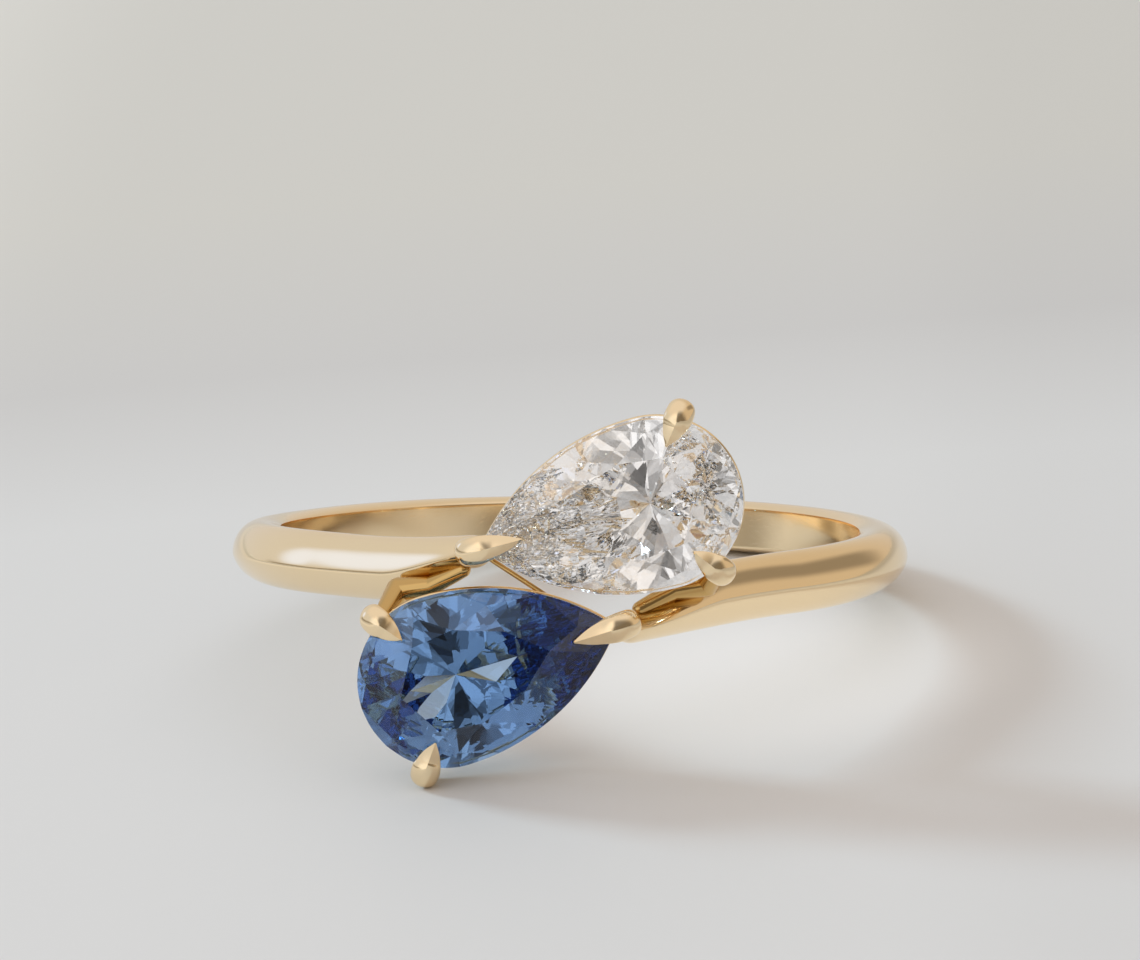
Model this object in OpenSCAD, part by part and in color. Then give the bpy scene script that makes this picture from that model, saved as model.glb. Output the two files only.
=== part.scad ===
// Toi et moi ring: a plain bypass shank with two pear-cut stones, a diamond and a sapphire.
// Each arm of the shank passes the other and ends in the claw at the point of its own stone.
// The ring is drawn about its finger axis, with the stones towards -Y, and then laid on its
// side on the floor, z = 0, where it rests on one claw and on the back of the band.

/* [Ring] */
// Inside diameter of the ring, across the finger
bore_d = 16.5; // [15:0.1:18]
// Thickness of the band, from the finger outwards
band_thick = 1.37; // [1.2:0.01:1.7]
// Height of the band along the finger, at the back of the ring
band_height = 1.5; // [1.3:0.05:1.8]
// Height of each arm along the finger, at its shoulder
shoulder_height = 1.75; // [1.6:0.05:2]
// Height of each arm along the finger, at its end
tip_height = 0.9; // [0.7:0.05:1.1]
// Angle from the head at which an arm starts to leave the finger
lift_angle = 46; // [40:1:52]

/* [Stones] */
// Length of each stone, from its round end to its point
stone_length = 7.25; // [6.8:0.05:7.6]
// Width of each stone
stone_width = 4.7; // [4.4:0.05:4.9]
// Height of the crown above the girdle
crown_height = 0.75; // [0.6:0.05:0.9]
// Depth of the pavilion below the girdle
pavilion_depth = 2.1; // [1.8:0.05:2.3]
// Thickness of the girdle
girdle_height = 0.12; // [0.08:0.01:0.16]
// Size of the table, as a share of the outline
table_share = 0.58; // [0.54:0.01:0.62]
// Distance from the round end's centre to the culet, towards the point
culet_shift = 0.45; // [0.2:0.05:0.7]

/* [Places of the stones] */
// Distance from the finger's axis to the girdles
girdle_radius = 11.2; // [11:0.05:11.8]
// Distance of each round end's centre from the middle of the head, around the ring
stone_aside = 2.86; // [2.8:0.02:3.1]
// Distance of each round end's centre from the middle of the head, along the finger
stone_along = 2.43; // [2.4:0.01:2.7]
// Turn of the diamond's long axis from the ring's plane, in degrees
diamond_turn = 14.7; // [13:0.1:18]
// Turn of the sapphire's long axis from the ring's plane, in degrees
sapphire_turn = 18; // [14:0.1:19]

/* [Settings] */
// Width of a claw where it passes the girdle
claw_width = 0.8; // [0.65:0.05:0.9]
// Reach of a side claw over the crown
claw_reach = 0.72; // [0.5:0.02:0.8]
// Reach of the claw over a stone's point
tip_reach = 1.15; // [0.9:0.05:1.3]
// Angle of the side claws from the stone's point, around its round end
claw_angle = 119; // [110:1:128]
// Thickness of the wire of the rail under a girdle
rail_wire = 0.4; // [0.34:0.02:0.44]
// Thickness of the wire of the small rail near the finger
base_wire = 0.56; // [0.5:0.02:0.64]
// Size of the small rail, as a share of the outline
base_share = 0.45; // [0.4:0.01:0.5]
// Gap between a stone and the gold that holds it
seat_gap = 0.03; // [0.02:0.01:0.05]

/* [Hidden] */
$fn = 96;

bore_r = bore_d / 2;
outer_r = bore_r + band_thick;
band_step = 6;
band_points = 16;
end_side = 2.3;
end_angle = asin(end_side / girdle_radius);

// The outline of a pear: a round end about the origin, and two wings that meet at the point
head_r = stone_width / 2;
point_x = stone_length - head_r;
wing_r = (point_x * point_x + head_r * head_r) / (2 * head_r);
wing_drop = wing_r - head_r;
culet = [culet_shift, 0];

// Small helpers

function lerp(a, b, t) = a + (b - a) * t;
function clamp01(t) = max(0, min(1, t));
function ease(t) = let (u = clamp01(t)) u * u * (3 - 2 * u);
function unit(v) = v / norm(v);
function flat(v) = [v[0], v[1]];

// A closed skin over a list of rings of points, as many in each ring; loop joins last to first
module skin(rings, loop = false) {
    m = len(rings[0]);
    n = len(rings);
    sides = [for (i = [0 : (loop ? n - 1 : n - 2)], j = [0 : m - 1])
        let (a = i * m, b = ((i + 1) % n) * m, k = (j + 1) % m)
        each [[a + j, b + j, b + k], [a + j, b + k, a + k]]];
    caps = loop ? [] : [[for (j = [0 : m - 1]) j], [for (j = [m - 1 : -1 : 0]) (n - 1) * m + j]];
    polyhedron(points = [for (r = rings) each r], faces = concat(sides, caps), convexity = 8);
}

// A round bar between two points, rounded off at both ends. Each ring of points is turned half a
// step from the last, here and in the wires, so that no two facets lie in one plane
module bar(a, b, ra, rb) {
    along = unit(b - a);
    side = unit(cross(along, abs(along[2]) < 0.8 ? [0, 0, 1] : [1, 0, 0]));
    up = cross(along, side);
    rows = [[a, -0.8 * ra, 0.6 * ra], [a, 0, ra], [b, 0, rb], [b, 0.8 * rb, 0.6 * rb]];
    skin([for (i = [0 : 3]) [for (k = [0 : 7]) let (r = rows[i], f = 45 * k - 22.5 * i)
        r[0] + r[1] * along + r[2] * (cos(f) * side + sin(f) * up)]]);
}

// The shank

// Share of the way up an arm: 0 where it still follows the finger, 1 at its end
function lift(e) = clamp01((lift_angle - e) / (lift_angle - end_angle));

// Outside and inside of the band at an angle e from the head
function band_outside(e) = lerp(outer_r, girdle_radius + 0.15, pow(ease(lift(e) * 0.72) / ease(0.72), 1.15));
function band_inside(e) = lerp(bore_r, girdle_radius - 1.15, pow(lift(e), 1.7));

// Far and near edge of an arm along the finger, the far edge being the one that it leans to
function far_edge(e) =
    lerp(band_height / 2, 0.64 * shoulder_height, ease((125 - e) / 90)) + 0.34 * pow(lift(e), 2.2);
function near_edge(e) = far_edge(e)
    - lerp(lerp(band_height, shoulder_height, ease((125 - e) / 75)), tip_height, ease(2 * lift(e) - 1.05));

// One section of the shank at an angle q from the back, as points in space; size shrinks it
function band_ring(q, size = 1, ahead = 0) =
    let (e = 180 - abs(q), side = q < 0 ? -1 : 1, turn = e - ahead,
         out = band_outside(e), in = band_inside(e), sunk = 0.4 * (1 - ease(lift(e) * 1.4)),
         mid = lerp(in, out, 0.4), w = (far_edge(e) + near_edge(e)) / 2,
         h = (far_edge(e) - near_edge(e)) / 2)
    [for (i = [0 : band_points - 1])
        let (f = 360 * i / band_points,
             c = cos(f), s = sin(f),
             r = mid + size * c * (c > 0 ? out - mid : mid - in + sunk),
             z = size * h * s - side * w)
        [side * r * sin(turn), -r * cos(turn), z]];

module shank() {
    last = 180 - end_angle;
    steps = ceil(last / band_step);
    round_off = [0.35, 0.62, 0.82, 0.95];
    // the far end of each arm is rounded off by a few smaller sections
    first_end = [for (s = round_off) band_ring(-last, s, 3.2 * sqrt(1 - s * s))];
    body = [for (i = [-steps : steps]) band_ring(i * last / steps)];
    last_end = [for (i = [3 : -1 : 0]) band_ring(last, round_off[i], 3.2 * sqrt(1 - round_off[i] * round_off[i]))];
    skin(concat(first_end, body, last_end));
}

// The stones

// A point of the outline, moved in by inset: u runs from -2 (round end) through 0 (point) to 2
function pear(u, inset = 0) =
    let (v = abs(u), side = u < 0 ? -1 : 1,
         rw = wing_r - inset, tip = acos(-wing_drop / rw) - 90,
         a = v <= 1 ? lerp(tip, 90, v) : 90 * v,
         p = v <= 1 ? [rw * cos(a), rw * sin(a) - wing_drop]
                    : (head_r - inset) * [cos(a), sin(a)])
    [p[0], side * p[1]];

// Outward direction of the outline there
function pear_out(u) =
    let (v = abs(u), side = u < 0 ? -1 : 1, tip = acos(-wing_drop / wing_r) - 90,
         a = v == 0 ? 0 : v <= 1 ? lerp(tip, 90, v) : 90 * v)
    [cos(a), side * sin(a)];

// Where the main facets meet the girdle, and the middles between them, as places on the outline
claw_place = claw_angle / 90;
mains = [-claw_place, -0.84, -0.4, 0, 0.4, 0.84, claw_place, 2];
function main_place(i) = i < 0 ? mains[i + 8] - 4 : i > 7 ? mains[i - 8] + 4 : mains[i];
function wrap(u) = u > 2 ? u - 4 : u < -2 ? u + 4 : u;
function middle_place(i) = (main_place(i) + main_place(i + 1)) / 2;

// Height of the plane of main facet i at a point p: rim is its height at the girdle, rise the
// height gained on the way to the share of the outline where the facet ends
function main_height(i, p, rim, rise, share) =
    let (g = pear(wrap(main_place(i))), n = pear_out(wrap(main_place(i))))
    rim + rise * ((g - p) * n) / ((1 - share) * ((g - culet) * n));

// The point on the edge between mains i and i + 1 that has a height h
function edge_point(i, h, rim, rise, share) =
    let (ga = pear(wrap(main_place(i))), na = pear_out(wrap(main_place(i))),
         gb = pear(wrap(main_place(i + 1))), nb = pear_out(wrap(main_place(i + 1))),
         t = (h - rim) * (1 - share) / rise,
         da = ga * na - t * ((ga - culet) * na), db = gb * nb - t * ((gb - culet) * nb),
         det = na[0] * nb[1] - na[1] * nb[0])
    [(da * nb[1] - db * na[1]) / det, (db * na[0] - da * nb[0]) / det, h];

// Height of the plane through three points at p
function plane_height(a, b, c, p) =
    let (n = cross(b - a, c - a)) a[2] - (n[0] * (p[0] - a[0]) + n[1] * (p[1] - a[1])) / n[2];

girdle_steps = 4;

// Points along the girdle from place a to place b, on the plane through m and both ends
function rim_points(a, b, m, rim) =
    let (pa = [each pear(wrap(a)), rim], pb = [each pear(wrap(b)), rim])
    [for (k = [0 : girdle_steps])
        let (p = pear(wrap(lerp(a, b, k / girdle_steps))))
        [p[0], p[1], k == 0 || k == girdle_steps ? rim : plane_height(pa, pb, m, p)]];

// A pear brilliant: table, 8 stars, 8 mains and 16 halves above, 8 mains and 16 halves below.
// It is the space between a faceted top and a faceted bottom, built as one skin of flat facets.
module pear_stone(grow = 0) {
    rim = girdle_height / 2 + grow;
    top = crown_height + grow;
    low = pavilion_depth + grow * 1.4;
    wide = 1 + grow / head_r;
    star_h = rim + (top - rim) * 0.52;
    half_h = -rim - (low - rim) * 0.74;
    table = [for (i = [0 : 7]) let (g = pear(wrap(main_place(i)))) [each (culet + table_share * (g - culet)), top]];
    stars = [for (i = [0 : 7]) edge_point(i, star_h, rim, top - rim, table_share)];
    halves = [for (i = [0 : 7]) edge_point(i, half_h, -rim, -(low - rim), 0)];
    // both rims run once around, from main 0: two half facets between each pair of mains
    rim_up = [for (i = [0 : 7], h = [0, 1])
        let (r = h == 0 ? rim_points(main_place(i), middle_place(i), stars[i], rim)
                        : rim_points(middle_place(i), main_place(i + 1), stars[i], rim))
        for (k = [0 : girdle_steps - 1]) r[k]];
    rim_low = [for (i = [0 : 7], h = [0, 1])
        let (r = h == 0 ? rim_points(main_place(i), middle_place(i), halves[i], -rim)
                        : rim_points(middle_place(i), main_place(i + 1), halves[i], -rim))
        for (k = [0 : girdle_steps - 1]) r[k]];
    n = len(rim_up);
    g = girdle_steps;
    s0 = 8;
    u0 = 16;
    l0 = u0 + n;
    h0 = l0 + n;
    tip = h0 + 8;
    function back(i) = (i + 7) % 8;
    faces = concat(
        [[for (i = [7 : -1 : 0]) i]],
        [for (i = [0 : 7]) [i, (i + 1) % 8, s0 + i]],
        [for (i = [0 : 7]) [i, s0 + i, u0 + i * 2 * g, s0 + back(i)]],
        [for (i = [0 : 7], h = [0, 1])
            [s0 + i, for (k = [g : -1 : 0]) u0 + (i * 2 * g + h * g + k) % n]],
        [for (k = [0 : n - 1]) [u0 + k, u0 + (k + 1) % n, l0 + (k + 1) % n, l0 + k]],
        [for (i = [0 : 7], h = [0, 1])
            [h0 + i, for (k = [0 : g]) l0 + (i * 2 * g + h * g + k) % n]],
        [for (i = [0 : 7]) [tip, h0 + back(i), l0 + i * 2 * g, h0 + i]]);
    scale([wide, wide, 1])
        polyhedron(points = concat(table, stars, rim_up, rim_low, halves, [[each culet, -low]]),
                   faces = faces, convexity = 2);
}

// The settings

// A closed wire that follows the outline, moved in by inset or shrunk to a share of it
function wire_rings(radius, inset, share, z, steps) =
    [for (i = [0 : steps - 1])
        let (u = -2 + 4 * i / steps, c = culet + share * (pear(u, inset) - culet), o = pear_out(u))
        [for (k = [0 : 7]) let (f = 22.5 * i - 45 * k)
            [c[0] + radius * cos(f) * o[0], c[1] + radius * cos(f) * o[1], z + radius * sin(f)]]];

rail_z = -girdle_height / 2 - rail_wire;
rail_inset = 0.1;
base_z = -pavilion_depth + 0.25;
// Rows of a claw's body from its foot to its shoulder: place inwards, height over the girdle,
// half width and half thickness, in millimetres for a claw 0.8 wide
BODY_ROWS = [
    [-0.08, -0.70, 0.26, 0.22],
    [-0.20, -0.36, 0.32, 0.26],
    [-0.27, -0.02, 0.38, 0.28],
    [-0.23,  0.22, 0.40, 0.26]];
// Rows of a claw's talon: share of the reach, half width and half thickness
TALON_ROWS = [
    [0.00, 0.385, 0.22],
    [0.34, 0.31, 0.165],
    [0.68, 0.19, 0.11],
    [1.00, 0.045, 0.04]];

// Centre line and sizes of a claw, from its foot to its point, over a crown of a given slope
function claw_line(reach, slope, outside) =
    let (k = claw_width / 0.8, rim = girdle_height / 2 + seat_gap)
    concat(
        [for (r = BODY_ROWS) [k * r[0] - outside, k * r[1], k * r[2], k * r[3]]],
        [for (r = TALON_ROWS)
            [r[0] * reach, rim + slope * r[0] * reach + (r[0] == 0 ? 1.15 : 1.05) * k * r[2] + 0.02,
             k * r[1], k * r[2]]]);

// A claw at the origin: x runs inwards over the stone, z out of the ring. A ridge runs along it
module claw(reach, slope, outside = 0) {
    line = claw_line(reach, slope, outside);
    n = len(line);
    rings = [for (i = [0 : n - 1])
        let (a = line[max(0, i - 1)], b = line[min(n - 1, i + 1)],
             d = unit([b[0] - a[0], b[1] - a[1]]), r = line[i])
        [for (k = [0 : 9])
            let (f = 90 + 36 * k, s = sin(f), c = cos(f),
                 roof = s > 0 ? lerp(s, 1.15 * (1 - abs(c)), 0.45) : s)
            [r[0] - d[1] * r[3] * roof, r[2] * c, r[1] + d[0] * r[3] * roof]]];
    skin(rings);
}

// One stone's setting, in the stone's own frame: two rails, three claws and their legs
module setting() {
    skin(wire_rings(rail_wire / 2, rail_inset, 1, rail_z, 32), loop = true);
    skin(wire_rings(base_wire / 2, 0, base_share, base_z, 16), loop = true);
    for (side = [-1, 1]) {
        u = side * claw_place;
        g = pear(u);
        to_culet = unit(culet - g);
        slope = (crown_height - girdle_height / 2) / ((1 - table_share) * ((g - culet) * pear_out(u)));
        foot = culet + base_share * (g - culet);
        translate([each g, 0])
            rotate([0, 0, atan2(to_culet[1], to_culet[0])])
                claw(claw_reach, slope);
        bar([each (g - 0.08 * to_culet), -0.6], [each foot, base_z], 0.21, 0.24);
    }
    tip_slope = (crown_height - girdle_height / 2) / ((1 - table_share) * (point_x - culet_shift));
    translate([point_x, 0, 0]) rotate([0, 0, 180]) claw(tip_reach, tip_slope, 0.12);
    bar([point_x + 0.1, 0, -0.7], [culet_shift + base_share * (point_x - culet_shift), 0, base_z], 0.26, 0.26);
}

// Carries a stone's frame to its place on the ring: half = 1 for the diamond, -1 for the sapphire
module at_stone(half, turn) {
    translate([half * stone_aside, -girdle_radius, half * stone_along])
        rotate([90, 0, 0])
            rotate([0, 0, half > 0 ? 180 + turn : turn])
                children();
}

// A point of the stone's frame, carried to the ring
function on_ring(p, half, turn) =
    let (a = half > 0 ? 180 + turn : turn)
    [half * stone_aside + p[0] * cos(a) - p[1] * sin(a), -girdle_radius - p[2],
     half * stone_along + p[0] * sin(a) + p[1] * cos(a)];

// The short leg from a stone's inner side claw down to the other stone's arm
module arm_leg(half, turn) {
    g = pear(claw_place);
    top = on_ring([each (g * 1.02), -0.55], half, turn);
    e = atan(abs(top[0]) / girdle_radius) + 1;
    r = (band_outside(e) + band_inside(e)) / 2;
    bar(top, [half * r * sin(e), -r * cos(e), -half * (far_edge(e) + 3 * near_edge(e)) / 4], 0.24, 0.3);
}

// The point of a stone's upper rail that is nearest to the middle of the head
function rail_middle(half, turn) =
    let (m = on_ring([0, -wing_drop, rail_z], half, turn), d = unit([-m[0], 0, -m[2]]))
    m + (wing_r - rail_inset) * d;

// The solder joint where the two upper rails pass each other
module rail_joint() {
    bar(rail_middle(1, diamond_turn), rail_middle(-1, sapphire_turn),
        rail_wire / 2 - 0.01, rail_wire / 2 - 0.01);
}

// Rest pose

// The ring lies on the sapphire's outer claw and on the band's edge across from it. Both are
// taken as balls: the foot of the claw and the round of the band
foot_ball = 0.3 * claw_width / 0.8;
function claw_foot() =
    let (g = pear(-claw_place), d = unit(g - culet))
    on_ring([each (g + 0.27 * claw_width / 0.8 * d), 0], -1, sapphire_turn);
// Centre of mass of the whole ring from the finger's axis
mass_centre = [0, -2.1];
band_ball = band_height / 2;
band_mid_r = bore_r + 0.4 * band_thick;
foot = claw_foot();
across = unit(mass_centre - flat(foot));
// the far side of the circle along the line from the claw through the centre of mass
reach_back = let (b = foot[0] * across[0] + foot[1] * across[1])
    -b + sqrt(b * b - (foot[0] * foot[0] + foot[1] * foot[1]) + band_mid_r * band_mid_r);
contact = flat(foot) + reach_back * across;
out_dir = unit(contact);
span = band_mid_r - (foot[0] * out_dir[0] + foot[1] * out_dir[1]);
tilt = atan2(-foot[2], span) - asin((band_ball - foot_ball) / norm([span, foot[2]]));
// Brings the middle of the whole ring, stones and all, over the origin
centre_shift = 0.16 * girdle_radius - 0.28;
rest_height = band_mid_r * sin(tilt) + band_ball;

// Lays the ring down: the side with the contact goes down by the tilt, the head goes up
module laid() {
    translate([0, centre_shift, rest_height])
        rotate(a = tilt, v = [-out_dir[1], out_dir[0], 0])
            children();
}

// The pieces

// Shank and settings soldered into one skin as they lie, with a seat cut for each stone; resize
// keeps every size here, and it joins the facets before the bore is cut
module soldered() {
    resize([0, 0, 0]) laid() difference() {
        union() {
            shank();
            at_stone(1, diamond_turn) setting();
            at_stone(-1, sapphire_turn) setting();
            arm_leg(1, diamond_turn);
            arm_leg(-1, sapphire_turn);
            rail_joint();
        }
        at_stone(1, diamond_turn) pear_stone(seat_gap);
        at_stone(-1, sapphire_turn) pear_stone(seat_gap);
    }
}

module gold_mount() {
    color("#d9b25f") difference() {
        soldered();
        // the finger hole is a true cylinder
        laid() cylinder(h = 4 * band_height, r = bore_r, center = true, $fn = 180);
    }
}

module diamond() {
    color("#e6e8ec") laid() at_stone(1, diamond_turn) pear_stone();
}

module sapphire() {
    color("#3f6fb0") laid() at_stone(-1, sapphire_turn) pear_stone();
}

gold_mount();
diamond();
sapphire();
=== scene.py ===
import math

import bmesh
import bpy
from bpy.props import FloatProperty, FloatVectorProperty, IntProperty, PointerProperty
from mathutils import Matrix, Vector


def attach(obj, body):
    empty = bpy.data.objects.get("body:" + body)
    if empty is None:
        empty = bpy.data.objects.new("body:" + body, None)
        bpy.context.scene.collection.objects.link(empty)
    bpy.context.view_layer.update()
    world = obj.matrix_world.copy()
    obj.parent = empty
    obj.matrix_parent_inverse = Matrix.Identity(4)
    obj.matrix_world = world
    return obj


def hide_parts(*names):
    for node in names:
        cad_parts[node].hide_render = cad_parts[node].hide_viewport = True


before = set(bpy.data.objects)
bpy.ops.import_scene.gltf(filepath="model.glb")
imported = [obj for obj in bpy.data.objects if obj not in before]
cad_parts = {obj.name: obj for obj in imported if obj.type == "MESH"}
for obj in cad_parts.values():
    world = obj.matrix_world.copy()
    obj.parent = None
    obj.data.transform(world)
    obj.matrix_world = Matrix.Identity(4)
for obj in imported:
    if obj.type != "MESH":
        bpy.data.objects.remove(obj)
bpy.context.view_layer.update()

bl_info = {
    "name": "Toi et moi ring",
    "version": (1, 0, 0),
    "blender": (4, 5, 0),
    "location": "3D View > Sidebar > Ring",
    "description": "A bypass ring with a diamond and a sapphire, both pear-cut, on its side on a pale floor",
    "category": "Object",
}

MM = 0.001
UP, DOWN = 1, -1


# Formulas that take plain numbers or sockets

class Wire:
    """A node's output used like a number: each operator adds the Math node for it."""

    def __init__(self, tree, socket):
        self.tree = tree
        self.socket = socket

    def math(self, operation, *values):
        return self.tree.add("ShaderNodeMath", {"operation": operation}, dict(enumerate(values))).out()

    def __add__(self, other):
        return self.math("ADD", self, other)

    def __radd__(self, other):
        return self.math("ADD", other, self)

    def __sub__(self, other):
        return self.math("SUBTRACT", self, other)

    def __rsub__(self, other):
        return self.math("SUBTRACT", other, self)

    def __mul__(self, other):
        return self.math("MULTIPLY", self, other)

    def __rmul__(self, other):
        return self.math("MULTIPLY", other, self)

    def __truediv__(self, other):
        return self.math("DIVIDE", self, other)

    def __rtruediv__(self, other):
        return self.math("DIVIDE", other, self)

    def __pow__(self, other):
        return self.math("POWER", self, other)

    def __neg__(self):
        return self.math("MULTIPLY", self, -1.0)

    def __abs__(self):
        return self.math("ABSOLUTE", self)

    def __gt__(self, other):
        return self.math("GREATER_THAN", self, other)

    def __lt__(self, other):
        return self.math("LESS_THAN", self, other)


class Node:
    """One node of a tree, with its outputs by name or number."""

    def __init__(self, tree, node):
        self.tree = tree
        self.node = node

    def out(self, name=0):
        return Wire(self.tree, self.node.outputs[name])


class Tree:
    """A node tree that is being built."""

    def __init__(self, tree):
        self.tree = tree
        tree.nodes.clear()

    def add(self, kind, settings=None, values=None):
        """Adds a node: its settings first, a ramp's stops among them, then its sockets."""
        node = self.tree.nodes.new(kind)
        for key, value in (settings or {}).items():
            if key == "stops":
                ramp = node.color_ramp.elements
                while len(ramp) < len(value):
                    ramp.new(1.0)
                for element, (place, colour) in zip(ramp, value):
                    element.position = place
                    element.color = colour
            else:
                setattr(node, key, value)
        for name, value in (values or {}).items():
            socket = node.inputs[name]
            if isinstance(value, Wire):
                self.tree.links.new(value.socket, socket)
            elif value is not None:
                socket.default_value = value
        return Node(self, node)

    def mix(self, share, a, b, kind="MIX"):
        """Mixes two colours by a share from 0 to 1."""
        node = self.add("ShaderNodeMix", {"data_type": "RGBA", "blend_type": kind}, {0: share, 6: a, 7: b})
        return node.out(2)


def clamp(t):
    if isinstance(t, Wire):
        return t.tree.add("ShaderNodeClamp", None, {0: t, 1: 0.0, 2: 1.0}).out()
    return max(0.0, min(1.0, t))


def sine(degrees):
    if isinstance(degrees, Wire):
        return degrees.math("SINE", degrees * (math.pi / 180))
    return math.sin(math.radians(degrees))


def cosine(degrees):
    if isinstance(degrees, Wire):
        return degrees.math("COSINE", degrees * (math.pi / 180))
    return math.cos(math.radians(degrees))


def lerp(a, b, t):
    return a + (b - a) * t


def ease(t):
    u = clamp(t)
    return u * u * (3 - 2 * u)


# The ring's sizes

class RingShank(bpy.types.PropertyGroup):
    bore: FloatProperty(
        name="Inside diameter", description="Inside diameter of the ring, across the finger",
        default=0.0165, min=0.015, max=0.018, unit="LENGTH", precision=5)
    thickness: FloatProperty(
        name="Band thickness", description="Thickness of the band, from the finger outwards",
        default=0.00137, unit="LENGTH", precision=5)
    back_height: FloatProperty(
        name="Height at the back", description="Height of the band along the finger, at its back",
        default=0.0015, unit="LENGTH", precision=5)
    shoulder_height: FloatProperty(
        name="Height at the shoulder", description="Height of each arm at its shoulder",
        default=0.00175, unit="LENGTH", precision=5)
    tip_height: FloatProperty(
        name="Height at the end", description="Height of each arm along the finger, at its end",
        default=0.0009, unit="LENGTH", precision=5)
    lift_angle: FloatProperty(
        name="Lift angle", description="Angle from the head at which an arm leaves the finger",
        default=math.radians(46), subtype="ANGLE")
    ridge: FloatProperty(
        name="Ridge", description="Strength of the soft ridge along the outside of the arms",
        default=0.38, subtype="FACTOR")
    rings: IntProperty(
        name="Sections", description="Sections along the whole shank", default=441, min=60, max=900)
    points: IntProperty(
        name="Points", description="Points around one section", default=72, min=16, max=160)


class RingStones(bpy.types.PropertyGroup):
    length: FloatProperty(
        name="Stone length", description="Length of each stone, from its round end to its point",
        default=0.00725, unit="LENGTH", precision=5)
    width: FloatProperty(
        name="Stone width", description="Width of each stone", default=0.0047, unit="LENGTH",
        precision=5)
    crown: FloatProperty(
        name="Crown height", description="Height of the crown above the girdle", default=0.00075,
        unit="LENGTH", precision=5)
    pavilion: FloatProperty(
        name="Pavilion depth", description="Depth of the pavilion below the girdle", default=0.0021,
        unit="LENGTH", precision=5)
    girdle: FloatProperty(
        name="Girdle", description="Thickness of the girdle", default=0.00012, unit="LENGTH",
        precision=5)
    table: FloatProperty(
        name="Table", description="Size of the table, as a share of the outline", default=0.58,
        subtype="FACTOR")
    culet: FloatProperty(
        name="Culet", description="From the round end's centre to the culet, towards the point",
        default=0.00045, unit="LENGTH", precision=5)
    radius: FloatProperty(
        name="Girdle radius", description="Distance from the finger's axis to the girdles",
        default=0.0112, unit="LENGTH", precision=5)
    aside: FloatProperty(
        name="Aside", description="From the head's middle to each round end, around the ring",
        default=0.00286, unit="LENGTH", precision=5)
    along: FloatProperty(
        name="Along", description="From the head's middle to each round end, along the finger",
        default=0.00243, unit="LENGTH", precision=5)
    diamond_turn: FloatProperty(
        name="Diamond's turn", description="Turn of the diamond from the ring's plane",
        default=math.radians(14.7), subtype="ANGLE")
    sapphire_turn: FloatProperty(
        name="Sapphire's turn", description="Turn of the sapphire from the ring's plane",
        default=math.radians(18), subtype="ANGLE")
    diamond_tint: FloatVectorProperty(
        name="Diamond", description="Tint of the diamond", subtype="COLOR",
        default=(0.985, 0.97, 0.965), min=0, max=1)
    sapphire_tint: FloatVectorProperty(
        name="Sapphire", description="Light that the sapphire lets through", subtype="COLOR",
        default=(0.09, 0.40, 0.70), min=0, max=1)
    sapphire_depth: FloatProperty(
        name="Depth of blue", description="How strongly the sapphire takes up light", default=330.0,
        min=0)


class RingSettings(bpy.types.PropertyGroup):
    claw_width: FloatProperty(
        name="Claw width", description="Width of a claw where it passes the girdle", default=0.0008,
        unit="LENGTH", precision=5)
    claw_reach: FloatProperty(
        name="Side claw's reach", description="Reach of a side claw over the crown", default=0.00072,
        unit="LENGTH", precision=5)
    tip_reach: FloatProperty(
        name="Point claw's reach", description="Reach of the claw over a stone's point",
        default=0.00115, unit="LENGTH", precision=5)
    claw_angle: FloatProperty(
        name="Claw angle", description="Angle of the side claws from the stone's point",
        default=math.radians(119), subtype="ANGLE")
    rail_wire: FloatProperty(
        name="Upper rail", description="Wire of the rail under a girdle", default=0.00034,
        unit="LENGTH", precision=5)
    base_wire: FloatProperty(
        name="Lower rail", description="Wire of the small rail near the finger", default=0.00056,
        unit="LENGTH", precision=5)
    base_share: FloatProperty(
        name="Lower rail's size", description="Size of the small rail, as a share of the outline",
        default=0.45, subtype="FACTOR")
    ridge: FloatProperty(
        name="Ridge", description="How sharply a claw is ridged, from round to roof", default=0.85,
        subtype="FACTOR")
    gold: FloatVectorProperty(
        name="Gold", description="Colour of the polished gold", subtype="COLOR",
        default=(0.97, 0.775, 0.50), min=0, max=1)
    polish: FloatProperty(
        name="Roughness", description="Roughness of the polished gold", default=0.115, subtype="FACTOR")


class RingPlace(bpy.types.PropertyGroup):
    lean: FloatProperty(
        name="Lean", description="How far the ring leans as it lies on its side",
        default=math.radians(12.5335), subtype="ANGLE")
    lean_axis: FloatProperty(
        name="Lean axis", description="Direction of the axis that it leans about",
        default=math.atan2(0.426972, -0.904265), subtype="ANGLE")
    shift: FloatProperty(
        name="Shift", description="From the part's middle to the finger axis", default=0.001512,
        unit="LENGTH", precision=6)
    height: FloatProperty(
        name="Height", description="Height of the middle of the finger hole", default=0.00265925,
        unit="LENGTH", precision=6)
    eye: FloatProperty(
        name="Camera distance", description="From the middle of the finger hole to the camera",
        default=0.2, unit="LENGTH")
    around: FloatProperty(
        name="Camera angle", description="Camera's angle around the finger axis",
        default=math.radians(2.77), subtype="ANGLE")
    above: FloatProperty(
        name="Camera elevation", description="Camera's angle above the ring's plane",
        default=math.radians(5.78), subtype="ANGLE")
    lens: FloatProperty(
        name="Lens", description="Focal length of the camera", default=221.45, unit="CAMERA")
    floor_colour: FloatVectorProperty(
        name="Floor", description="Colour of the pale floor", subtype="COLOR",
        default=(0.68, 0.68, 0.68), min=0, max=1)
    daylight: FloatProperty(
        name="Soft light", description="Strength of the light from all around", default=1.0)
    window: FloatProperty(
        name="Window light", description="Power of the soft light from the left and behind", default=13.8,
        unit="POWER")


class RingProps(bpy.types.PropertyGroup):
    shank: PointerProperty(type=RingShank)
    stones: PointerProperty(type=RingStones)
    settings: PointerProperty(type=RingSettings)
    place: PointerProperty(type=RingPlace)


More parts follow.
